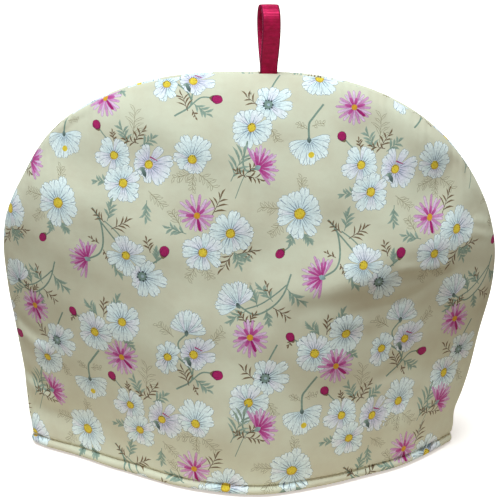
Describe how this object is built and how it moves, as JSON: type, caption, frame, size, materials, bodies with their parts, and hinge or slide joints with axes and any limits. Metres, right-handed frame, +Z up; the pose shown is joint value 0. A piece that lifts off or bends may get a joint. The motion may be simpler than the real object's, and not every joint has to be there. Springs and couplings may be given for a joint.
{
  "type": "tea cosy",
  "caption": "Padded dome tea cosy in floral printed cotton, open at its hem, with a satin ribbon loop in the seam at the top.",
  "frame": {"origin": "on the surface that the hem rests on, in the middle of the cosy's width and depth", "axes": "+X to the right from side seam to side seam, +Y from the front panel to the back panel, +Z up to the ribbon loop"},
  "size_m": [0.3419, 0.1624, 0.3195],
  "materials": {
    "printed_cotton": "plain weave cotton, matt, cream ground with a small floral print",
    "satin_ribbon": "satin with fine crosswise ribs, crimson"
  },
  "bodies": {
    "root": {"front_panel": "printed_cotton", "back_panel": "printed_cotton", "ribbon_loop": "satin_ribbon"}
  },
  "joints": []
}
